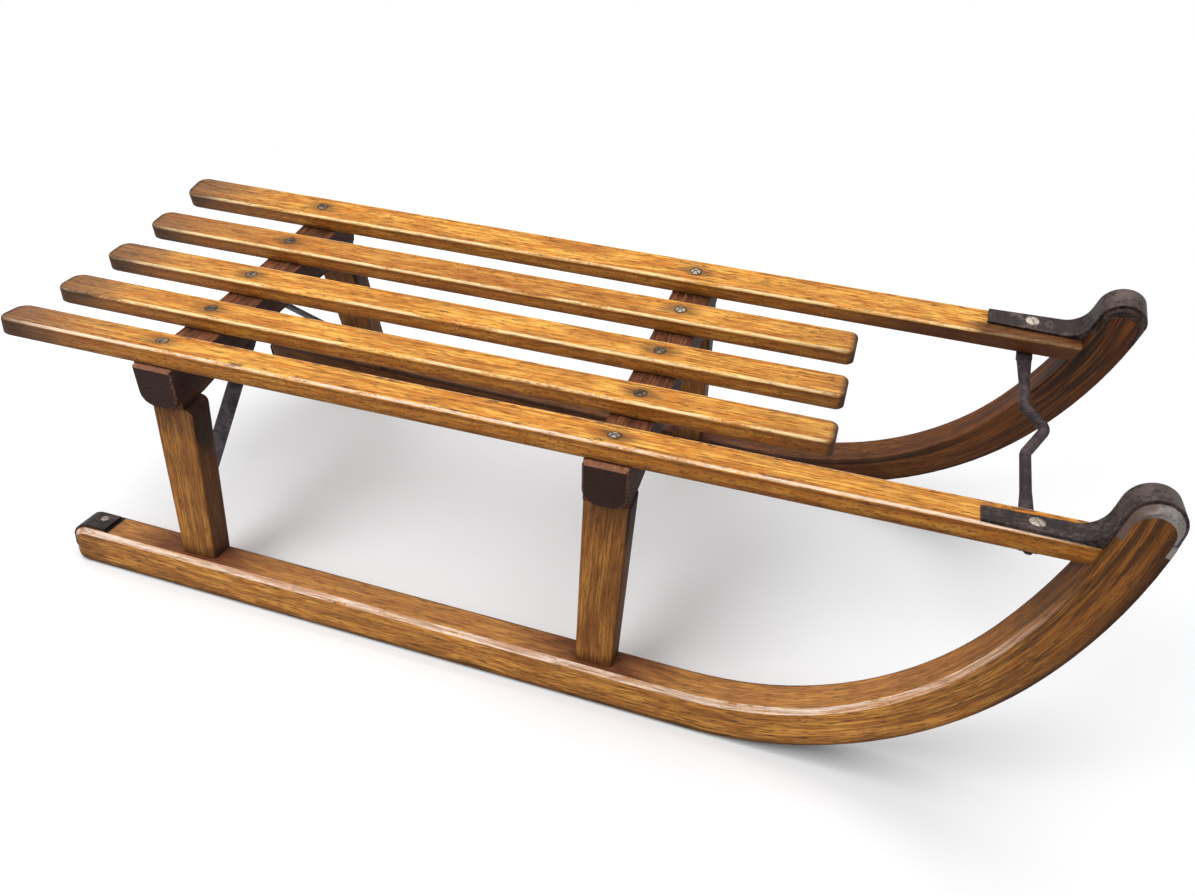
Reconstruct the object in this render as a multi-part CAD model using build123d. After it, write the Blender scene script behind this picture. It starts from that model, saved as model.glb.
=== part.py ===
"""Wooden slatted sled.

Five lengthwise slats lie on two dished crossbeams.  The outer two are the side rails, which run on
forward to the horns of the runners.  Each runner is one bent plank in a plane that leans outward
toward the ground, with an iron shoe that runs from its tail to the rail.

Millimetres.  X forward, Y to the left, Z up.  The origin is on the ground, below the middle of the
overall length, and the shoes stand on Z = 0.
"""
from build123d import *

import math
import os

# Overall size and stance
overall_length = 1000.0
seat_height = 252.3          # ground to the top of a side rail, over the rear crossbeam
seat_pitch = 1.2             # degrees, the seat rises toward the horns
cant = 8.5                   # degrees, the lean of the runners' planes
runner_half_track = 189.0    # middle plane to a runner's own plane, on the ground

# Seat
rail_half_spacing = 144.1    # middle plane to the centre line of a side rail
rail_width = 36.0
rail_thickness = 17.0
rail_seat_gap = 0.03         # clearance of a rail over the crossbeams, which it crosses at a slight skew
slat_spacing = 72.05
slat_width = 35.0
slat_thickness = 16.0
slat_tilt = 3.4              # degrees, the tilt of the slats beside the middle one
slat_drop = 6.3              # side rail top down to the tops of the slats beside the middle one
middle_slat_drop = 7.8
slat_rear_inset = 2.0        # the three inner slats end this far ahead of the rails' rear ends
slat_front_inset = 244.5     # and this far behind the horns
slat_rear_corner = 12.0      # plan radius of a slat's corners
slat_front_corner = 8.0
slat_edge = 3.3              # rounding along a slat's top edges
slat_under_edge = 1.5        # bevel along its lower edges

# Crossbeams
rear_beam_inset = 164.7      # rear end of the rails to the centre of the rear beam
front_beam_inset = 414.4     # horns to the centre of the front beam
beam_width = 40.0
beam_half_length = 169.0
beam_end_depth = 43.5        # depth of the beam over the legs
beam_middle_depth = 27.0
beam_arch_half_span = 130.0
beam_end_round = 15.0        # rounding of the lower corners of a beam's end
beam_end_top_round = 3.0
beam_edge = 2.0              # bevel of the rim of a beam's end

# Legs
leg_thickness = 27.0
leg_corner = 4.0
leg_top_y = 150.0            # middle plane to a leg's centre, at the beam's underside
leg_foot_shift = -5.5        # leg foot centre, from the runner's own plane
rear_leg_top_width = 44.0
rear_leg_foot_width = 37.0
rear_leg_top_shift = 7.5     # leg top centre, ahead of the beam's centre
rear_leg_foot_shift = 20.5
front_leg_top_width = 42.0
front_leg_foot_width = 35.0
front_leg_top_shift = 0.5
front_leg_foot_shift = 5.5
tenon_width = 18.0
tenon_thickness = 12.0
tenon_length = 14.0
mortise_clearance = 0.1

# Runners, as side views in their own planes: radius and turn of each bend in turn
runner_width = 35.0
runner_depth = 33.5          # at the runner's own plane
runner_tail_inset = 44.0     # rear end of the rails to the rear end of the runner
runner_tail_corner = 10.0    # plan radius of the runner's rear corners
runner_bevel = 4.5           # bevel of the upper outer rim
runner_inner_bevel = 1.5
sole_radius = 305.0          # first bend of the sole
sole_turn = 60.0             # degrees
horn_radius = 410.0          # second bend of the sole, up the front of the horn
horn_rise = 40.3             # rail top, over the rear beam, up to the end of that bend, along the lean
horn_square = 8.0            # length of the horn's front, below its round tip, that is planed square
back_bend_lead = 17.0        # the upper side starts to bend this far behind the sole
back_radius = 435.0          # first bend of the upper side
back_turn = 5.5              # degrees
rise_radius = 262.0          # second bend of the upper side
rise_turn = 54.4             # degrees
horn_back_radius = 449.0     # last bend of the upper side, up the back of the horn

# Iron work
shoe_width = 25.0
shoe_thickness = 2.5
shoe_shift = -1.0            # shoe centre line, from the runner's own plane
shoe_hook = 36.0             # length of the shoe's end over the runner's tail
shoe_plate = 85.0            # length of the shoe's end on the rail
shoe_plate_width = 19.5      # its width at its rear end
shoe_root = 22.0             # radius of the bend between horn and rail
cap_crown_depth = 8.5        # depth of the horn's cap at its crown
wood_tip_radius = 15.0       # round end of the wood inside the cap
cap_skirt = 12.0             # the cap's sides below the centre of that round
cap_block = 60.0             # half size of the block that holds the cap

stay_width = 16.0
stay_thickness = 3.0
rear_stay_shift = 8.0        # stay's centre line, ahead of the beam's centre
front_stay_shift = -4.0
stay_half_flat = 26.0
stay_foot_length = 30.0
stay_foot_rise = 16.0
stay_bend = 9.0
stay_clearance = 0.1         # between a stay and the inner faces of its legs

tow_bar_inset = 92.5         # horns to the straight parts of the bar
tow_bar_diameter = 9.5
tow_bar_reach = 17.5         # forward throw of the kink, before its bend
tow_bar_kink = 34.4          # half width of the kink
tow_bar_kink_shift = 6.6     # the kink's middle, to the left of the sled's
tow_bar_tip_shift = 6.9      # the kink's tip, to the left of its middle
tow_bar_bend = 14.0
tow_bar_flare = 42.0         # length over which an end is forged from round to flat
tow_pad_length = 34.0
tow_pad_width = 14.0
tow_pad_thickness = 4.5
tow_pad_overhang = 6.0       # the pads reach this far inward past the rails

slats = (
    # name, centre line, drop of its top, tilt
    ("slat_right", -slat_spacing, slat_drop, -slat_tilt),
    ("slat_middle", 0.0, middle_slat_drop, 0.0),
    ("slat_left", slat_spacing, slat_drop, slat_tilt),
)

# Derived places
front_end = overall_length / 2
rear_end = -overall_length / 2
rear_beam = rear_end + rear_beam_inset
front_beam = front_end - front_beam_inset
slat_front = front_end - slat_front_inset
runner_tail = rear_end + runner_tail_inset
tow_bar_x = front_end - tow_bar_inset
pitch = math.radians(seat_pitch)
lean = math.radians(cant)
sole_line = shoe_thickness
runner_top = sole_line + runner_depth
tail_round = runner_depth / 2

# The seat's frame: its X runs along the slats, its Z square to them, from the rear crossbeam
seat_plane = Plane(
    origin=(rear_beam, 0, seat_height),
    x_dir=(math.cos(pitch), 0, math.sin(pitch)),
    z_dir=(-math.sin(pitch), 0, math.cos(pitch)),
)


def on_seat(piece):
    """A piece drawn in the seat's frame, put in its place."""
    return seat_plane.location * piece


def left_of(piece):
    """The left-hand twin of a right-hand piece."""
    return mirror(piece, about=Plane.XZ)


def slab(face, low, high):
    """A side view given a thickness across the runner's plane, from low to high."""
    return extrude(Pos(0, 0, low) * face, high - low, dir=(0, 0, 1))


def planed(face, low, high):
    """A side view given a thickness from low to high, level across, as the sole is planed."""
    start = Pos(0, -low * math.tan(lean), low)
    return extrude(start * face, (high - low) / math.cos(lean), dir=(0, -math.sin(lean), math.cos(lean)))


def bend_run(start, bends):
    """Tangent arcs that rise from a level start, one after another."""
    tangent = (1, 0)
    edges = []
    for radius, turn in bends:
        edge = JernArc(start=start, tangent=tangent, radius=radius, arc_size=turn)
        start = edge @ 1
        tangent = edge % 1
        edges.append(edge)
    return edges


# Side view of the runner.  Its X is 0 where the sole starts to bend, its Y is 0 on the ground
sole_start = Vector(0, sole_line)
back_start = Vector(-back_bend_lead, runner_top)
back_bends = ((back_radius, back_turn), (rise_radius, rise_turn))
sole_slope = math.radians(sole_turn)
rail_height = seat_height * math.cos(lean) + (runner_half_track - rail_half_spacing) * math.sin(lean)
horn_top = rail_height + horn_rise
horn_centre = sole_line + sole_radius + (horn_radius - sole_radius) * math.cos(sole_slope)
horn_turn = math.degrees(math.acos((horn_centre - horn_top) / horn_radius)) - sole_turn
sole_edges = bend_run(sole_start, ((sole_radius, sole_turn), (horn_radius, horn_turn)))
back_edges = bend_run(back_start, back_bends)

# The horn's tip is a round that touches the last bend in front and the one up its back
horn_front = sole_edges[-1] @ 1
front_centre = sole_edges[-1].arc_center
inward = (front_centre - horn_front).normalized()
back_heading = back_edges[-1] % 1
back_centre = back_edges[-1] @ 1 + Vector(-back_heading.Y, back_heading.X) * horn_back_radius
from_back = horn_front - back_centre
back_gap = horn_back_radius - from_back.dot(inward)
tip_radius = (from_back.length ** 2 - horn_back_radius ** 2) / (2 * back_gap)
tip_centre = horn_front + inward * tip_radius
horn_back = back_centre + (tip_centre - back_centre).normalized() * horn_back_radius
chord = (horn_front - horn_back).normalized()
horn_crown = tip_centre + Vector(-chord.Y, chord.X) * tip_radius
tip_turn = (back_edges[-1] @ 1 - back_centre).get_angle(horn_back - back_centre)
back_edges.append(JernArc(back_edges[-1] @ 1, back_heading, horn_back_radius, tip_turn))
tip_edge = ThreePointArc(horn_front, horn_crown, horn_back)
sole_bend = front_end - shoe_thickness - tip_radius - tip_centre.X
tail_end = runner_tail - sole_bend
tail_back = Vector(tail_end, sole_line + tail_round)
tail_rise = JernArc(tail_back, (0, 1), tail_round, -90)
tail_fall = JernArc(tail_back, (0, -1), tail_round, 90)
sole_straight = Line(tail_fall @ 1, sole_start)
top_straight = Line(tail_rise @ 1, back_start)
runner_side = make_face([
    tail_fall, sole_straight, *sole_edges, tip_edge, *back_edges, top_straight, tail_rise,
])

# Its upper side is square to the runner's plane, its sole is planed level: each half, with room past the other
beyond = 2 * overall_length
horn_face = sole_edges[-1].trim(1 - horn_square / sole_edges[-1].length, 1)
ahead_of_horn = horn_face @ 0 - inward * beyond
upper_half = make_face([
    tail_rise, top_straight, *back_edges, tip_edge, horn_face,
    Polyline(
        horn_face @ 0, ahead_of_horn, (ahead_of_horn.X, -beyond),
        (tail_end - beyond, -beyond), (tail_end - beyond, tail_back.Y), tail_back,
    ),
])
over_horn = horn_front + Vector(inward.Y, -inward.X) * beyond
lower_half = make_face([
    tail_fall, sole_straight, *sole_edges,
    Polyline(horn_front, over_horn, (tail_end, over_horn.Y), tail_back),
])

# Where the iron cap lies on the horn: all above its lower edge but the wood's own round tip
horn_up = Vector(-chord.Y, chord.X)
horn_tilt = math.degrees(math.atan2(chord.Y, chord.X))
wood_tip = Pos(horn_crown - horn_up * (cap_crown_depth + wood_tip_radius)) * Rot(0, 0, horn_tilt)
wood_core = Circle(wood_tip_radius) + Pos(0, -cap_skirt) * Rectangle(2 * wood_tip_radius, 2 * cap_skirt)
cap_zone = Pos(0, cap_block - cap_skirt) * Rectangle(2 * cap_block, 2 * cap_block) - wood_core

# The right-hand runner's plane: its X runs forward, its Y up the lean and its Z outward
right_plane = Plane(
    origin=(sole_bend, -runner_half_track, 0),
    x_dir=(1, 0, 0),
    z_dir=(0, -math.cos(lean), math.sin(lean)),
)

# The side rail in the runner's plane
rail_origin = right_plane.to_local_coords(Vector(rear_beam, -rail_half_spacing, seat_height))
rail_shift = rail_origin.Z
rail_turn = Pos(rail_origin.X, rail_origin.Y) * Rot(0, 0, seat_pitch)


def stand(piece):
    """A piece drawn in the runner's side view, stood up in the right-hand runner's plane."""
    return right_plane.location * piece


def back_of_horn(height):
    """How far forward the back of the horn lies, at a height in the runner's plane."""
    return back_centre.X + math.sqrt(horn_back_radius ** 2 - (height - back_centre.Y) ** 2)


def make_runner():
    """Right-hand runner and the iron cap on its horn, drawn flat."""
    plank = slab(upper_half, -runner_width / 2, runner_width / 2)
    for side, bevel in ((-1, runner_bevel), (0, runner_inner_bevel)):
        rim = plank.faces().sort_by(Axis.Z)[side].edges()
        rim = rim.filter_by_position(Axis.X, tail_end, front_end).filter_by_position(Axis.Y, 0, front_end)
        plank = chamfer(rim, bevel)
    plank &= planed(lower_half, -runner_width, runner_width)
    zone = slab(wood_tip * cap_zone, -runner_width, runner_width)
    return (plank & tail_plan(0)) - zone, plank & zone


def tail_plan(margin):
    """All of the runner's plan, with its rear corners rounded, and a margin round it."""
    length = overall_length
    plan = Pos(tail_end - margin + length / 2, 0) * Rectangle(length, runner_width + 2 * margin)
    rear_corners = plan.vertices().group_by(Axis.X)[0]
    plan = fillet(rear_corners, runner_tail_corner + margin)
    return extrude(Plane.XZ * plan, overall_length, both=True)


def make_shoe():
    """Iron strap from the tail, under the sole, up and over the horn and back along the rail."""
    low = shoe_shift - shoe_width / 2
    high = shoe_shift + shoe_width / 2
    shells = []
    for margin in (shoe_thickness, 0):
        upper = offset(upper_half, margin, kind=Kind.ARC) if margin else upper_half
        lower = offset(lower_half, margin, kind=Kind.ARC) if margin else lower_half
        shells.append(slab(upper, low, high) & planed(lower, -runner_width, runner_width))
    strap = shells[0] - shells[1]
    under = runner_depth / 2
    hook_end = tail_end + shoe_hook
    start = (-back_bend_lead, runner_top - under)
    bends = [(radius + under, turn) for radius, turn in back_bends]
    bends.append((horn_back_radius + under, tip_turn))
    inside = bend_run(start, bends)
    top = inside[-1] @ 1
    above = make_face([
        Line((hook_end, runner_top - under), start),
        *inside,
        Line(top, (hook_end, top.Y)),
        Line((hook_end, top.Y), (hook_end, runner_top - under)),
    ])
    below_rail = rail_turn * Pos(0, -overall_length) * Rectangle(4 * overall_length, 2 * overall_length)
    strap -= slab(above & below_rail, -runner_width, runner_width)
    plate_front = rail_end()
    plate = rail_turn * Pos(plate_front - shoe_plate / 2, shoe_thickness / 2) * Rectangle(
        shoe_plate, shoe_thickness
    )
    strap += slab(plate, low, high)
    corner = rail_turn * Pos(plate_front, shoe_thickness, shoe_shift)
    root = strap.edges().filter_by(Axis.Z).sort_by_distance(corner.position)[0]
    shoe = fillet(root, shoe_root) & tail_plan(shoe_thickness)
    return shoe - plate_trim(plate_front)


def plate_trim(plate_front):
    """The two wedges cut off beside the shoe's plate, which narrows toward its rear end."""
    rear = plate_front - shoe_plate
    wide = shoe_width / 2
    narrow = shoe_plate_width / 2
    wedge = make_face(Polyline((rear, wide), (plate_front, wide), (rear, narrow), (rear, wide)))
    both = wedge + mirror(wedge, about=Plane.XZ)
    lying = extrude(both, 2 * shoe_thickness, dir=(0, 0, 1))
    return rail_turn * Pos(0, 0, shoe_shift) * Rot(-90, 0, 0) * lying


def rail_line(x):
    """Height of the rail's top in the runner's plane."""
    return rail_origin.Y + (x - rail_origin.X) * math.tan(pitch)


def rail_end():
    """Where the top of the rail meets the back of the horn, ahead of the rear crossbeam."""
    return back_of_horn(rail_line(tip_centre.X)) - rail_origin.X


def make_slat(rear, front, width, thickness, square_front=False):
    """A slat with its top on Z = 0, round at its corners and along its top edges."""
    plan = Pos((rear + front) / 2, 0) * Rectangle(front - rear, width)
    plan = fillet(plan.vertices().group_by(Axis.X)[0], slat_rear_corner)
    if not square_front:
        plan = fillet(plan.vertices().group_by(Axis.X)[-1], slat_front_corner)
    blank = extrude(Pos(0, 0, -thickness) * plan, thickness, dir=(0, 0, 1))
    for end, ease, size in ((-1, fillet, slat_edge), (0, chamfer, slat_under_edge)):
        rim = blank.faces().sort_by(Axis.Z)[end].edges()
        if square_front:
            rim = rim.sort_by(Axis.X)[:-1]
        blank = ease(rim, size)
    return blank


def make_rail():
    """Right-hand side rail, whose front end butts against the back of the horn."""
    rear = (rear_end - rear_beam) / math.cos(pitch)
    front = rail_end() + tip_radius
    blank = make_slat(rear, front, rail_width, rail_thickness, square_front=True)
    flat = rail_turn * Pos(0, 0, rail_shift) * Rot(-90, 0, 0) * blank
    return flat - slab(runner_side, -runner_width * 2, runner_width * 2)


def rail_seat(beam_x):
    """The outer and inner ends of the right-hand rail's seat on a crossbeam, as (y, z)."""
    under_rail = rail_turn * Pos((beam_x - rear_beam) / math.cos(pitch), -rail_thickness - rail_seat_gap)
    ends = []
    for side in (1, -1):
        flat = Vector(under_rail.position.X, under_rail.position.Y, rail_shift + side * rail_width / 2)
        corner = seat_plane.to_local_coords(right_plane.from_local_coords(flat))
        ends.append((corner.Y, corner.Z))
    return ends


def slat_place(y, drop, tilt):
    """Place of a slat in the seat's frame."""
    return Pos(0, y, -drop) * Rot(tilt, 0, 0)


def beam_top(beam_x):
    """The seats along the top of a crossbeam, from right to left, as (y, z) in the seat's frame."""
    right = rail_seat(beam_x)
    points = list(right)
    for name, y, drop, tilt in slats:
        for side in (-1, 1):
            corner = slat_place(y, drop, tilt) * Pos(0, side * slat_width / 2, -slat_thickness)
            points.append((corner.position.Y, corner.position.Z))
    return points + [(-y, z) for y, z in reversed(right)]


def beam_end_top():
    """Height of a crossbeam's top at its shoulders, level with the rail's seat there."""
    (outer_y, outer_z), (inner_y, inner_z) = rail_seat(rear_beam)
    slope = (outer_z - inner_z) / (outer_y - inner_y)
    return inner_z + slope * (-beam_shoulder - inner_y)


# Where a crossbeam's body ends and its nose begins: flush with the outer faces of the legs
beam_shoulder = leg_top_y + leg_thickness / 2
beam_under = beam_end_top() - beam_end_depth
arch_rise = -middle_slat_drop - slat_thickness - beam_middle_depth - beam_under


def make_beam(beam_x):
    """A crossbeam with flat seats for the slats, an arched underside and noses outside the legs."""
    points = beam_top(beam_x)
    end_top = beam_end_top()
    arch = ThreePointArc(
        (beam_arch_half_span, beam_under),
        (0, beam_under + arch_rise),
        (-beam_arch_half_span, beam_under),
    )
    outline = make_face([
        Polyline(
            (-beam_arch_half_span, beam_under),
            (-beam_shoulder, beam_under),
            (-beam_shoulder, end_top),
            *points[1:-1],
            (beam_shoulder, end_top),
            (beam_shoulder, beam_under),
            (beam_arch_half_span, beam_under),
        ),
        arch,
    ])
    body = extrude(Plane.YZ.offset(beam_x - rear_beam) * outline, beam_width / 2, both=True)
    end = Pos(beam_x - rear_beam, end_top - beam_end_depth / 2) * Rectangle(beam_width, beam_end_depth)
    low_corners = end.vertices().group_by(Axis.Y)[0]
    end = fillet(low_corners, beam_end_round)
    high_corners = end.vertices().group_by(Axis.Y)[-1]
    end = fillet(high_corners, beam_end_top_round)
    nose = extrude(Plane.XZ.offset(beam_shoulder) * end, beam_half_length - beam_shoulder)
    nose = chamfer(nose.faces().sort_by(Axis.Y)[0].edges(), beam_edge)
    return on_seat(body + nose + left_of(nose))


def leg_planes(beam_x, top_shift, foot_shift):
    """The seats of a right-hand leg: the crossbeam's underside and the runner's upper side."""
    top = Vector(beam_x - rear_beam + top_shift, -leg_top_y, beam_under)
    foot = Vector(beam_x + foot_shift - sole_bend, runner_top, leg_foot_shift)
    return (
        Plane(seat_plane.from_local_coords(top), x_dir=seat_plane.x_dir, z_dir=seat_plane.z_dir),
        Plane(right_plane.from_local_coords(foot), x_dir=(1, 0, 0), z_dir=right_plane.y_dir),
    )


def tenons(top, foot, allowance=0.0):
    """The leg's two tenons, or with an allowance the mortises that they fit."""
    section = Rectangle(tenon_width + 2 * allowance, tenon_thickness + 2 * allowance)
    up = extrude(top * section, tenon_length + allowance)
    down = extrude(foot * section, -tenon_length - allowance)
    return up, down


def leg_plane(top, foot):
    """The middle plane of a right-hand leg: its X runs forward, its Y up the leg and its Z outward."""
    rise = top.origin - foot.origin
    return Plane(foot.origin, x_dir=(1, 0, 0), z_dir=(0, -rise.Z, rise.Y))


def make_leg(top, foot, top_width, foot_width, shoulder):
    """A tapered leg between its two seats, with a tenon at each end.

    Its top reaches ahead of the crossbeam by the shoulder, and is rounded off over that length.
    """
    side = leg_plane(top, foot)
    head = side.to_local_coords(top.origin)
    spare = leg_thickness / head.Y
    corners = []
    for edge in (-0.5, 0.5):
        low = Vector(edge * foot_width, 0)
        run = Vector(head.X + edge * top_width, head.Y) - low
        corners.append((low - run * spare, low + run * (1 + spare)))
    (rear_low, rear_high), (front_low, front_high) = corners
    outline = make_face(Polyline(rear_low, front_low, front_high, rear_high, rear_low))
    blank = extrude(outline, leg_thickness / 2, both=True)
    blank = fillet(blank.edges().sort_by(SortBy.LENGTH)[-4:], leg_corner)
    body = split(side.location * blank, bisect_by=top, keep=Keep.BOTTOM)
    body = split(body, bisect_by=foot, keep=Keep.TOP)
    square = Pos(top_width / 2, 0) * Rectangle(2 * shoulder, 2 * shoulder)
    corner = Plane.XZ * (square - Pos(top_width / 2 - shoulder, -shoulder) * Circle(shoulder))
    up, down = tenons(top, foot)
    return body - top.location * extrude(corner, leg_thickness, both=True) + up + down


def make_stay(beam_x, top, foot, stay_shift):
    """Flat iron stay: bolted up under the crossbeam, down each side to the foot of a leg."""
    stay_x = beam_x + stay_shift
    side = leg_plane(top, foot)
    off_leg = -(leg_thickness + stay_thickness) / 2 - stay_clearance
    low = side.from_local_coords(Vector(0, stay_foot_rise, off_leg))
    high = side.from_local_coords(Vector(0, stay_foot_rise + stay_foot_length, off_leg))
    arch_radius = (beam_arch_half_span ** 2 + arch_rise ** 2) / (2 * arch_rise)
    sag = arch_radius - math.sqrt(arch_radius ** 2 - stay_half_flat ** 2)
    level_drop = stay_width / 2 * math.tan(pitch)
    under = beam_under + arch_rise - sag - stay_thickness / 2 - level_drop
    flat = seat_plane.from_local_coords(Vector(stay_x - rear_beam, -stay_half_flat, under))
    right = [low, high, flat]
    points = [(stay_x, point.Y, point.Z) for point in right]
    points += [(stay_x, -point.Y, point.Z) for point in reversed(right)]
    path = FilletPolyline(*points, radius=stay_bend)
    start = Plane(path @ 0, x_dir=(1, 0, 0), z_dir=path % 0)
    return sweep(start * Rectangle(stay_width, stay_thickness), path=path)


def make_tow_bar():
    """Iron bar under the rails' front ends, flat at its ends and kinked forward to hold a rope."""
    along = (tow_bar_x - rear_beam) / math.cos(pitch)
    inner_end = rail_shift - rail_width / 2 - tow_pad_overhang
    under_rail = rail_turn * Pos(along, -rail_thickness - tow_pad_thickness / 2, inner_end)
    pad = under_rail * Pos(0, 0, tow_pad_length / 2) * Box(tow_pad_width, tow_pad_thickness, tow_pad_length)
    right_pad = stand(pad)
    end = right_plane.from_local_coords(under_rail.position)
    rod_y = end.Y + tow_bar_flare
    flat_end = Plane(end, x_dir=(1, 0, 0), z_dir=right_plane.z_dir)
    round_end = Plane((end.X, rod_y, end.Z), x_dir=(1, 0, 0), z_dir=(0, -1, 0))
    round_section = Circle(tow_bar_diameter / 2)
    flat_section = Ellipse(tow_pad_width / 2, tow_pad_thickness / 2)
    right_flare = loft([round_end * round_section, flat_end * flat_section])
    path = FilletPolyline(
        (end.X, rod_y, end.Z),
        (end.X, tow_bar_kink_shift - tow_bar_kink, end.Z),
        (end.X + tow_bar_reach, tow_bar_kink_shift + tow_bar_tip_shift, end.Z),
        (end.X, tow_bar_kink_shift + tow_bar_kink, end.Z),
        (end.X, -rod_y, end.Z),
        radius=tow_bar_bend,
    )
    rod = sweep(Plane(path @ 0, x_dir=(1, 0, 0), z_dir=path % 0) * round_section, path=path)
    right_end = right_flare + right_pad
    return rod + right_end + left_of(right_end)


benches = (
    # name, place of the crossbeam, the leg's shifts and widths at top and foot, the stay's shift
    (
        "rear", rear_beam, rear_leg_top_shift, rear_leg_foot_shift,
        rear_leg_top_width, rear_leg_foot_width, rear_stay_shift,
    ),
    (
        "front", front_beam, front_leg_top_shift, front_leg_foot_shift,
        front_leg_top_width, front_leg_foot_width, front_stay_shift,
    ),
)


def build():
    """Every node of the sled, by name."""
    nodes = {}
    wood, cap = make_runner()
    runner_right = stand(wood)
    rail_right = stand(make_rail())
    shoe_right = stand(make_shoe())
    cap_right = stand(cap)
    for name, y, drop, tilt in slats:
        rear = (rear_end + slat_rear_inset - rear_beam) / math.cos(pitch)
        front = (slat_front - rear_beam) / math.cos(pitch)
        blank = make_slat(rear, front, slat_width, slat_thickness)
        nodes[name] = on_seat(slat_place(y, drop, tilt) * blank)
    for name, beam_x, top_shift, foot_shift, top_width, foot_width, stay_shift in benches:
        top, foot = leg_planes(beam_x, top_shift, foot_shift)
        leg = make_leg(top, foot, top_width, foot_width, top_shift + (top_width - beam_width) / 2)
        beam_mortise, runner_mortise = tenons(top, foot, mortise_clearance)
        beam = make_beam(beam_x) - beam_mortise - left_of(beam_mortise)
        runner_right -= runner_mortise
        nodes["crossbeam_" + name] = beam
        nodes["leg_" + name + "_right"] = leg
        nodes["leg_" + name + "_left"] = left_of(leg)
        nodes["stay_" + name] = make_stay(beam_x, top, foot, stay_shift)
    nodes["tow_bar"] = make_tow_bar()
    for name, piece in (
        ("side_rail", rail_right),
        ("runner", runner_right),
        ("shoe", shoe_right),
        ("horn_cap", cap_right),
    ):
        nodes[name + "_right"] = piece
        nodes[name + "_left"] = left_of(piece)
    return nodes


os.makedirs("parts", exist_ok=True)
for node, piece in build().items():
    solids = piece.solids()
    export_step(solids[0] if len(solids) == 1 else Compound(children=solids), "parts/" + node + ".step")
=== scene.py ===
import math

import bmesh
import bpy
from mathutils import Matrix, Vector


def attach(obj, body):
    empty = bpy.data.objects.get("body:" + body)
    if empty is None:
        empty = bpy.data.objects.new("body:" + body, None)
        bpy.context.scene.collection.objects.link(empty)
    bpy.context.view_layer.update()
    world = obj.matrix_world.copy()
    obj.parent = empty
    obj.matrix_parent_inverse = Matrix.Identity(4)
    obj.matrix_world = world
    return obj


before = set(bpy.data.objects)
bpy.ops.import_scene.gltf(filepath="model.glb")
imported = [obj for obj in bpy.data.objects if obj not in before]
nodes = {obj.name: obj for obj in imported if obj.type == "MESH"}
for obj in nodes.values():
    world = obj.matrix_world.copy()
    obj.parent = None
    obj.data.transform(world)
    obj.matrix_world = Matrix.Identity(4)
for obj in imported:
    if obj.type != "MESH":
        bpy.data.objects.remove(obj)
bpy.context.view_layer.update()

# The sled's own sizes and directions, as part.py lays them out, in metres
pitch = math.radians(1.2)
cant = math.radians(8.5)
rear_beam = -0.3353
front_beam = 0.0856
seat_height = 0.2523
rail_offset = 0.1441
sole_bend = 0.18316
half_track = 0.189
leg_top_y = 0.150
leg_foot_y = 0.1782
leg_foot_z = 0.0348
plate_screw_x = 0.4085
tail_screw_x = -0.4318
benches = (
    # name, beam's centre, leg's top x and z, leg's foot x, stay's x
    ("rear", rear_beam, -0.3266, 0.1946, -0.3148, -0.3273),
    ("front", front_beam, 0.0872, 0.2033, 0.0911, 0.0816),
)
ahead = Vector((1, 0, 0))
seat_along = Vector((math.cos(pitch), 0, math.sin(pitch)))
seat_up = Vector((-math.sin(pitch), 0, math.cos(pitch)))
seat_origin = Vector((rear_beam, 0, seat_height))


def runner_axes(side):
    """Up along a canted runner, and outward square to it."""
    upward = Vector((0, -side * math.sin(cant), math.cos(cant)))
    outward = Vector((0, side * math.cos(cant), math.sin(cant)))
    return upward, outward


def rail_axes(side):
    """Outward across a rail, which leans with its runner, and up from its top."""
    upward, outward = runner_axes(side)
    return outward, Vector((-math.sin(pitch), 0, 0)) + upward * math.cos(pitch)


def slat_axes(tilt):
    """Across a slat, which follows the seat's dish, and up from its top."""
    angle = math.radians(tilt)
    across = Vector((0, math.cos(angle), 0)) + seat_up * math.sin(angle)
    up = Vector((0, -math.sin(angle), 0)) + seat_up * math.cos(angle)
    return across, up


def rail_origin(side):
    """The middle of a rail's top over the rear crossbeam."""
    return Vector((rear_beam, side * rail_offset, seat_height))


def lengthwise(across, up):
    """The direction square to both that points toward the horns."""
    along = across.cross(up)
    return along if along.x > 0 else -along


def place_on(origin, across, up, x, aside, above):
    """Place on a slat or rail, x along the sled, and aside and above on the piece itself."""
    along = lengthwise(across, up)
    return origin + along * ((x - origin.x) / along.x) + across * aside + up * above


def paint(text):
    """A colour written as an sRGB hex code, as Blender's linear numbers."""
    channels = [int(text[i:i + 2], 16) / 255 for i in (0, 2, 4)]
    return tuple(c / 12.92 if c <= 0.04045 else ((c + 0.055) / 1.055) ** 2.4 for c in channels) + (1.0,)


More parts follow.
